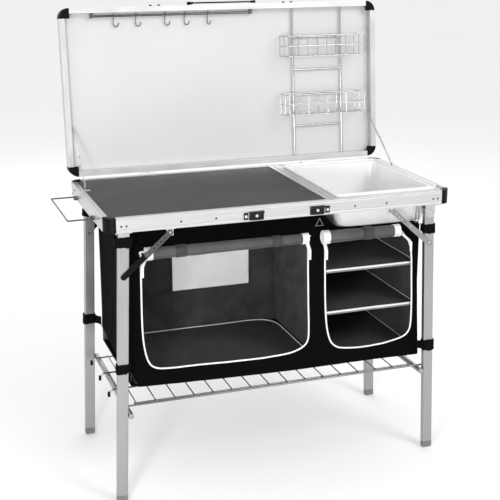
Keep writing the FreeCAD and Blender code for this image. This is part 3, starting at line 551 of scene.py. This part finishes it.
FRONT_OUTLINE = rounded_poly(
    [(-CX, 0.765), (-CX + 0.002, 0.56), (-CX - 0.005, 0.375), (-CX + 0.016, 0.338), (-CX + 0.019, 0.3185),
     (-0.30, 0.314), (0.0, 0.3045), (0.25, 0.3045), (CX + 0.010, 0.3015), (CX + 0.004, 0.40),
     (CX - 0.005, 0.58), (CX - 0.006, 0.716), (0.200, 0.719), (0.166, 0.724), (0.126, 0.765)],
    [0.003, 0.08, 0.012, 0.008, 0.004, 0.04, 0.10, 0.08, 0.004, 0.08, 0.08, 0.006, 0.01, 0.012, 0.003],
)


def front_y(x, z):
    """Depth of the front panel: soft swells, drawn tight near the top and bottom corners."""
    loose = min(1, abs(abs(x) - CX) / 0.05) * min(1, max(0, TOP - z) / 0.06)
    swell = 0.0022 * wrinkle((x, 0, z), 7, 2.0) + 0.0012 * wrinkle((x * 2.2, 0, z * 0.6), 16, 6.0)
    return CY + swell * loose


def front_panel():
    flat, faces = cut_sheet(FRONT_OUTLINE, [LEFT_HOLE, RIGHT_HOLE], 0.006)
    rims = [nearest(flat, poly)[0] for poly in (LEFT_HOLE, RIGHT_HOLE)]
    hem = nearest(flat, FRONT_OUTLINE)[0]
    verts = []
    for i, (x, z) in enumerate(flat):
        binding = 0.0011 if min(rims[0][i], rims[1][i]) < 0.0125 else 0.0
        edge = 0.0008 if hem[i] < 0.011 else 0.0
        verts.append((x, front_y(x, z) - binding - edge, z))
    obj = piece("cabinet_front_panel", verts, faces, ["fabric", "lining"], "cabinet_fabric", 0.0016)
    return obj


front = front_panel()
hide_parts("cabinet_front")


def rectangle(width, height):
    return np.array([(0, 0), (width, 0), (width, height), (0, height)])


def wall(name, outline, place, seed, amount, colours, along=(1, 1, 1), holes=()):
    """Hung cloth panel: place(u, v, d) puts sheet point (u, v), pushed out by d, in space."""
    flat, faces = cut_sheet(outline, list(holes), 0.008)
    edge = nearest(flat, outline)[0]
    verts = []
    for (u, v), e in zip(flat, edge):
        d = amount * folds(place(u, v, 0), seed, along) * min(1, e / 0.03)
        verts.append(place(u, v, d))
    return piece(name, verts, faces, colours, "cabinet_fabric", 0.0014)


def on_left_wall(u, v, d):
    belly = 0.004 * sin(pi * min(1, max(0, v / 0.42)))
    hem = 0.030 * (u / depth) * (1 - v / 0.431)
    return -CX + 0.001 + abs(d) + belly, CY + 0.003 + u, BASE + 0.012 + v + hem


def on_right_wall(u, v, d):
    return CX - 0.001 - d, CY + 0.003 + u, BASE + 0.006 + v


def on_back_wall(u, v, d):
    return u, REAR - 0.0015 - abs(d), v


def on_divider(u, v, d):
    return MID + 0.001 - abs(d), CY + 0.003 + u, BASE + 0.010 + v


def on_floor(u, v, d):
    sag = 0.012 * sin(pi * u / (2 * CX)) * cos(pi * v / depth / 2) ** 2
    return -CX + 0.002 + u, CY + 0.003 + v, BASE - 0.001 - sag + 0.2 * d


depth = REAR - CY
left_wall = wall("cabinet_left_wall", rectangle(depth - 0.004, TOP - BASE - 0.012), on_left_wall,
                 11.0, 0.008, ["lining", "fabric"])
right_wall = wall("cabinet_right_wall", rectangle(depth - 0.004, RIGHT_TOP - BASE - 0.006), on_right_wall,
                  17.0, 0.008, ["fabric", "lining"])

WINDOW = ((-0.213, 0.041), (0.451, 0.655))
window_hole = rounded_poly(
    [(WINDOW[0][0], WINDOW[1][0]), (WINDOW[0][1], WINDOW[1][0]),
     (WINDOW[0][1], WINDOW[1][1]), (WINDOW[0][0], WINDOW[1][1])], [0.006] * 4,
)
back_outline = np.array(
    [(-CX + 0.002, BASE - 0.002), (CX - 0.002, BASE - 0.002), (CX - 0.002, RIGHT_TOP),
     (MID + 0.012, RIGHT_TOP), (MID - 0.014, TOP), (-CX + 0.002, TOP)]
)
back_wall = wall("cabinet_back_wall", back_outline, on_back_wall, 23.0, 0.024, ["lining", "fabric"],
                 (0.8, 1, 1.5), [window_hole])
divider = wall("cabinet_divider_wall", rectangle(depth - 0.008, TOP - BASE - 0.020), on_divider,
               31.0, 0.026, ["lining"], (1, 0.9, 1.3))
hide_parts("cabinet_divider")
floor_cloth = wall("cabinet_floor_cloth", rectangle(2 * CX - 0.004, depth - 0.006), on_floor,
                   37.0, 0.003, ["fabric"])
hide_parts("cabinet_shell")


def window():
    """Grey film in the back wall, with a bound and stitched edge."""
    (x0, x1), (z0, z1) = WINDOW
    n, m = 26, 20
    verts = []
    for i in range(n):
        for k in range(m):
            x, z = x0 + (x1 - x0) * i / (n - 1), z0 + (z1 - z0) * k / (m - 1)
            verts.append((x, REAR - 0.004 - 0.0016 * wrinkle((x, 0, z), 9, 4.0), z))
    film = piece("window_film", verts, grid_faces(n, m), ["film"], "cabinet_fabric", 0.0006)
    path = resampled(window_hole, 0.006)
    rim = [(x, REAR - 0.0055, z) for x, z in path]
    edge = piece("window_binding", *tube(rim, 0.0032, True), ["lining"], "cabinet_fabric")


def film_look():
    look = Look("window_film", (0.86, 0.86, 0.86), 0.5, Transmission_Weight=0.55, IOR=1.2)
    look.paint(look.vary(look.noise(16, detail=5), 0.05)).gloss(look.noise(30), 0.08)
    return look.relief((look.noise(40, detail=3), 0.0006)).mat


M["film"] = film_look()
window()


def piping(name, outline, radius, lift):
    """White bias piping round an opening of the front panel."""
    path = resampled(outline, 0.005)
    points = [(x, front_y(x, z) - lift, z) for x, z in path]
    return piece(name, *tube(points, radius, True), ["piping"], "cabinet_fabric")


piping("left_opening_piping", LEFT_HOLE, 0.0025, 0.0022)
piping("right_opening_piping", RIGHT_HOLE, 0.0025, 0.0022)


# ---------------------------------------------------------------- boards
def board(name, x, y, z, thick, sag, corner, lip, bare=0.0):
    """Fabric-covered board with eased corners and piping round its upper edge.

    bare is how much of the board, from its left side, has no piping.
    """
    corners = [(x[0], y[0]), (x[1], y[0]), (x[1], y[1]), (x[0], y[1])]
    outline = rounded_poly(corners, [0.004, 0.004, corner, corner])
    flat, faces = cut_sheet(outline, [], 0.010)

    def level(u, v):
        across = sin(pi * (u - x[0]) / (x[1] - x[0])) * sin(pi * (v - y[0]) / (y[1] - y[0]))
        return z - sag * across + 0.0006 * wrinkle((u, v, 0), 12, z * 31)

    top = [(u, v, level(u, v)) for u, v in flat]
    obj = piece(name, top, faces, ["board"], "board_fabric", thick, -1)
    parts = []
    ring = [(u, v, level(u, v) + 0.0012) for u, v in resampled(outline, 0.006) if u > x[0] + bare]
    parts.append(tube(ring, 0.0018 if bare else 0.0011, not bare))
    front_edge = []
    for i in range(41):
        front_edge.append((x[0] + 0.004 + (x[1] - x[0] - 0.008) * i / 40, y[0] - 0.0015, z - 0.001))
    if lip:
        parts.append(tube([(a, b, level(a, y[0]) - 0.0005) for a, b, _ in front_edge], 0.0020))
    piece(name + "_piping", *merge(parts), ["piping"], "cabinet_fabric")
    if lip:
        strip = []
        for a, _, _ in front_edge:
            for k in range(4):
                strip.append((a, y[0] - 0.001 + 0.0005 * k, level(a, y[0]) - 0.0025 - 0.0018 * k))
        piece(name + "_lip", strip, grid_faces(41, 4), ["lip"], "cabinet_fabric", 0.0012)
    return obj


BOARD_Z = (BASE + 0.0075, 0.466, 0.592)
board_y = (CY + 0.006, REAR - 0.012)
left_board = board(
    "floor_board_left", (-CX + 0.014, MID - 0.006), board_y, BOARD_Z[0], 0.004, 0.0, 0.075, False, 0.06
)
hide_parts("cabinet_boards")
board("floor_board_right", (MID + 0.006, CX - 0.006), board_y, BOARD_Z[0], 0.004, 0.0, 0.02, False)
for i, z in enumerate(BOARD_Z[1:], 1):
    board(f"shelf_board_{i}", (MID + 0.006, CX - 0.006), board_y, z, 0.004, 0.003, 0.012, True)


# ---------------------------------------------------------------- rolled doors
STEPS_A_TURN = 26


def spiral(turns, r0, r1):
    """Radius and angle along a roll, from its core to its outer end."""
    n = int(turns * STEPS_A_TURN)
    return [(r0 + (r1 - r0) * i / n, 2 * pi * turns * (i / n - 1)) for i in range(n + 1)]


def roll_radius(x, roll):
    """Outer radius along a roll, pinched under its straps."""
    r = roll["r"][0] + (roll["r"][1] - roll["r"][0]) * (x - roll["x"][0]) / (roll["x"][1] - roll["x"][0])
    for s in roll["straps"]:
        r *= 1 - 0.09 * np.exp(-(((x - s) / 0.022) ** 2))
    return r * (1 + 0.03 * wrinkle((x, 0, 0), 22, roll["seed"]))


def on_roll(x, share, angle, roll):
    """A point of a roll: share of the outer radius, at an angle round its core."""
    soft = 1 + 0.075 * wrinkle((x * 0.5, cos(angle) * 0.11, sin(angle) * 0.11), 24, roll["seed"] + 5)
    r = roll_radius(x, roll) * share * soft
    y, z = roll["centre"]
    return (x, y - r * cos(angle), z + r * sin(angle) * 1.03)


ROLLS = [
    {"name": "left", "x": (-0.384, 0.074), "r": (0.0165, 0.0140), "centre": (CY - 0.0160, 0.7015),
     "straps": (-0.290, -0.016), "seed": 3.0, "turns": 6.7, "height": 0.36},
    {"name": "right", "x": (0.124, 0.354), "r": (0.0180, 0.0165), "centre": (CY - 0.0182, 0.7000),
     "straps": (0.257,), "seed": 9.0, "turns": 5.6, "height": 0.35},
]


def door(roll):
    """A door rolled up on itself, its white zip tape and piping showing at both ends."""
    x0, x1 = roll["x"]
    path = spiral(roll["turns"], 0.14, 0.97)
    inner0, inner1 = x0 + 0.012, x1 - 0.012
    n = int((inner1 - inner0) / 0.008)
    verts = []
    for i in range(n + 1):
        x = inner0 + (inner1 - inner0) * i / n
        for share, angle in path:
            verts.append(on_roll(x, share, angle - 0.7, roll))
    faces = grid_faces(n + 1, len(path))
    body = piece(f"rolled_door_{roll['name']}", verts, faces, ["roll"], "roll_fabric", 0.0013)
    for end, (a, b) in enumerate(((x0 - 0.002, inner0 + 0.004), (inner1 - 0.004, x1 + 0.002))):
        verts = []
        steps = 7
        for i in range(steps + 1):
            x = a + (b - a) * i / steps
            for share, angle in path:
                verts.append(on_roll(x, share + 0.075, angle - 0.7, roll))
        side = f"{roll['name']}_{end + 1}"
        faces = grid_faces(steps + 1, len(path))
        piece(f"door_tape_{side}", verts, faces, ["tape"], "cabinet_fabric", 0.0013)
        face = a if end == 0 else b
        rim = [on_roll(face, share + 0.075, angle - 0.7, roll) for share, angle in path]
        piece(f"door_piping_{side}", *tube(rim, 0.0015), ["piping"], "cabinet_fabric")
    return body


doors = [door(roll) for roll in ROLLS]


def roll_strap(roll, index, x, width):
    """Webbing band round a roll, its free end overlapping and hanging a little."""
    half = width / 2
    verts = []
    turns = [-0.9 * pi + 2.18 * pi * i / 52 for i in range(53)]
    rows = 6
    for i in range(rows + 1):
        u = x - half + width * i / rows
        for k, a in enumerate(turns):
            layer = 1.10 + 0.07 * max(0, k - 46) / 6 + (0.05 if k > 46 else 0)
            verts.append(on_roll(u, layer, a, roll))
    name = f"roll_strap_{roll['name']}_{index}"
    piece(name, verts, grid_faces(rows + 1, len(turns)), ["roll_strap"], "webbing", 0.0014)


for roll, width in zip(ROLLS, (0.026, 0.028)):
    for index, x in enumerate(roll["straps"], 1):
        roll_strap(roll, index, x, width)
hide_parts("cabinet_door_rolls")


# ---------------------------------------------------------------- zip ends and pulls
def strip(name, path, width, thickness, look, slot_name, across=(1, 0, 0)):
    """Flat tape along a path, its width along a given direction."""
    across = Vector(across)
    verts = []
    for p in path:
        for k in (-0.5, -0.2, 0.2, 0.5):
            verts.append(Vector(p) + across * (width * k))
    return piece(name, verts, grid_faces(len(path), 4), [look], slot_name, thickness)


def box_mesh(lo, hi, bevel, segments=3):
    """Box with rounded edges, as vertices and faces."""
    bm = bmesh.new()
    bmesh.ops.create_cube(bm, size=1.0)
    for v in bm.verts:
        v.co = Vector([lo[i] + (hi[i] - lo[i]) * (v.co[i] + 0.5) for i in range(3)])
    bmesh.ops.bevel(bm, geom=list(bm.edges), offset=bevel, segments=segments, affect="EDGES", profile=0.5)
    bm.verts.index_update()
    out = [v.co.copy() for v in bm.verts], [tuple(v.index for v in f.verts) for f in bm.faces]
    bm.free()
    return out


ENDS = (
    ("left_1", -0.3945, -0.386, 0.690, 0.650), ("left_2", 0.0865, 0.078, 0.690, 0.652),
    ("right_1", 0.1375, 0.130, 0.688, 0.646), ("right_2", 0.4015, 0.362, 0.700, 0.646),
)
for name, x, x_roll, z_top, z_low in ENDS:
    path = []
    for i in range(15):
        t = i / 14
        ease = t * t * (3 - 2 * t)
        y = CY - 0.009 + 0.004 * ease - 0.0015 * sin(pi * t)
        path.append((x_roll + (x - x_roll) * ease, y, z_top + (z_low + 0.006 - z_top) * t))
    strip(f"zip_tail_{name}", path, 0.0105, 0.0018, "tape", "cabinet_fabric")
    slider_z, tab_z = (z_low + 0.001, z_low + 0.013), (z_low - 0.016, z_low + 0.009)
    body = box_mesh((x - 0.0046, CY - 0.0105, slider_z[0]), (x + 0.0046, CY - 0.0045, slider_z[1]), 0.0018)
    tab = box_mesh((x - 0.0034, CY - 0.0125, tab_z[0]), (x + 0.0034, CY - 0.0108, tab_z[1]), 0.0008, 2)
    eye = []
    for a in np.linspace(0, 2 * pi, 17)[:-1]:
        eye.append((x + 0.0026 * cos(a), CY - 0.0117, z_low - 0.0115 + 0.0026 * sin(a)))
    mesh = merge([body, tab, tube(eye, 0.0011, True, 6)])
    piece(f"zip_pull_{name}", *mesh, ["pull"], "zip_plastic")
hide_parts("zip_pulls")


# ---------------------------------------------------------------- leg straps
LEG_TOP_X, LEG_TOP_Z, LEG_LEAN = 0.450, 0.745, radians(2.19)
HALF_LEG_Y = 0.009
LEG_SIGN = {"left": -1, "right": 1}
LEG_Y = {side: local(f"legs_{side}")[1].y - HALF_LEG_Y for side in LEG_SIGN}


def leg_x(side, z):
    """Middle of a leg at a height, from the lean of its tube."""
    return LEG_SIGN[side] * (LEG_TOP_X + (LEG_TOP_Z - z) * tan(LEG_LEAN))


def leg_strap(side, end, z, height, half=(0.0166, 0.0101)):
    """Hook-and-loop webbing round a leg, overlapping on the outside, with a tail to the cabinet."""
    sign, y0 = LEG_SIGN[side], end * LEG_Y[side]
    hx, hy = half
    loop = rounded_poly([(hx, hy), (-hx, hy), (-hx, -hy), (hx, -hy)], [0.006] * 4, 5)
    path = resampled(loop, 0.003)
    turn = len(path)
    path = np.vstack([path, path[: turn // 3]])
    rows = 7
    verts = []
    for i, (u, v) in enumerate(path):
        lap = 1 + 0.10 * max(0.0, i - turn * 0.76) / (turn * 0.24) if i < turn else 1.13
        droop = 0.0035 * wrinkle((u * 3, v * 3, i * 0.03), 30, z * 9)
        droop -= 0.004 * max(0, i - turn) / (turn / 3)
        for k in range(rows + 1):
            share = k / rows
            zz = z + height * share + droop * (1 - share * 0.6)
            crease = 1 + 0.03 * wrinkle((u, v, zz * 2), 60, z * 5)
            verts.append((leg_x(side, zz) + sign * u * lap * crease, y0 + end * v * lap * crease, zz))
    parts = [(verts, grid_faces(len(path), rows + 1))]
    tail = []
    steps = 15
    ys = LEG_Y[side]
    for i in range(steps + 1):
        t = i / steps
        start = abs(leg_x(side, z + height / 2)) - hx + 0.002
        corner = CX + 0.0012 if start > CX else CX - 0.002
        x = start + (corner - start) * min(1, t * 1.4) ** 1.3
        y = (ys - 0.001) + (-CY + 0.001 - (ys - 0.001)) * t
        for k in range(rows + 1):
            pinch = 1 - 0.22 * sin(pi * t)
            zz = z + height / 2 + height * (k / rows - 0.5) * pinch - 0.002 * sin(pi * t)
            tail.append((sign * x, end * y, zz))
    parts.append((tail, grid_faces(steps + 1, rows + 1)))
    name = f"leg_strap_{side}_{'rear' if end > 0 else 'front'}_{'low' if z < 0.5 else 'high'}"
    return piece(name, *merge(parts), ["webbing"], "webbing", 0.0018)


for side, end, z, height in (
    ("left", 1, 0.706, 0.022), ("left", -1, 0.383, 0.025), ("left", 1, 0.367, 0.031),
    ("right", -1, 0.685, 0.025), ("right", 1, 0.685, 0.025),
    ("right", -1, 0.322, 0.031), ("right", 1, 0.322, 0.031),
):
    leg_strap(side, end, z, height)
leg_strap("left", -1, 0.737, 0.024, (0.0225, 0.0142))
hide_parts("cabinet_straps")

# ---------------------------------------------------------------- floor, light and camera
floor_look = Look("studio_floor", (0.86, 0.86, 0.86), 0.9)
floor_look.paint(floor_look.vary(floor_look.noise(0.6, detail=3), 0.01))
floor_look.relief((floor_look.noise(60, detail=2), 0.0001))


def studio_floor():
    n, half = 24, 40.0
    verts = []
    for i in range(n):
        for k in range(n):
            verts.append((half * (2 * i / (n - 1) - 1), half * (2 * k / (n - 1) - 1), -0.0005))
    data = bpy.data.meshes.new("studio_floor")
    data.from_pydata(verts, [], grid_faces(n, n))
    data.materials.append(floor_look.mat)
    obj = bpy.data.objects.new("studio_floor", data)
    bpy.context.scene.collection.objects.link(obj)


studio_floor()


def area_light(name, place, target, size, power):
    data = bpy.data.lights.new(name, "AREA")
    data.shape = "DISK"
    data.size, data.energy = size, power
    obj = bpy.data.objects.new(name, data)
    obj.location = ORIGIN + Vector(place)
    obj.rotation_euler = (Vector(place) - Vector(target)).to_track_quat("Z", "Y").to_euler()
    bpy.context.scene.collection.objects.link(obj)


MIDDLE = (0, 0, 0.6)
area_light("key", (1.8, -3.2, 3.4), MIDDLE, 1.8, 70)
area_light("fill", (-1.7, -3.0, 0.9), (0.1, 0, 0.5), 0.9, 22)
area_light("back", (0.5, 3.4, 3.0), MIDDLE, 3.0, 30)
area_light("side", (-1.2, -1.6, 0.95), (0.08, -0.02, 0.5), 0.3, 11)

world = bpy.data.worlds.new("studio")
world.use_nodes = True
world.node_tree.nodes["Background"].inputs["Color"].default_value = (1, 1, 1, 1)
world.node_tree.nodes["Background"].inputs["Strength"].default_value = 1.0
bpy.context.scene.world = world
bpy.context.scene.view_settings.view_transform = "Standard"

AZIMUTH, ELEVATION, ROLL = radians(-19.2067), radians(16.3962), radians(-0.1047)
DISTANCE, FOCAL_PX, IMAGE_PX, SENSOR = 3.201, 1087.361, 500, 36.0
TARGET = ORIGIN + Vector((-0.02142, 0, 0.61933))
back = Vector((sin(AZIMUTH) * cos(ELEVATION), -cos(AZIMUTH) * cos(ELEVATION), sin(ELEVATION)))
camera_data = bpy.data.cameras.new("camera")
camera_data.sensor_width = SENSOR
camera_data.lens = FOCAL_PX * SENSOR / IMAGE_PX
camera_data.clip_end = 200
camera = bpy.data.objects.new("camera", camera_data)
camera.location = TARGET + back * DISTANCE
turn = back.to_track_quat("Z", "Y").to_matrix().to_4x4()
camera.rotation_euler = turn.to_euler()
camera.rotation_euler.rotate_axis("Z", ROLL)
bpy.context.scene.collection.objects.link(camera)
bpy.context.scene.camera = camera
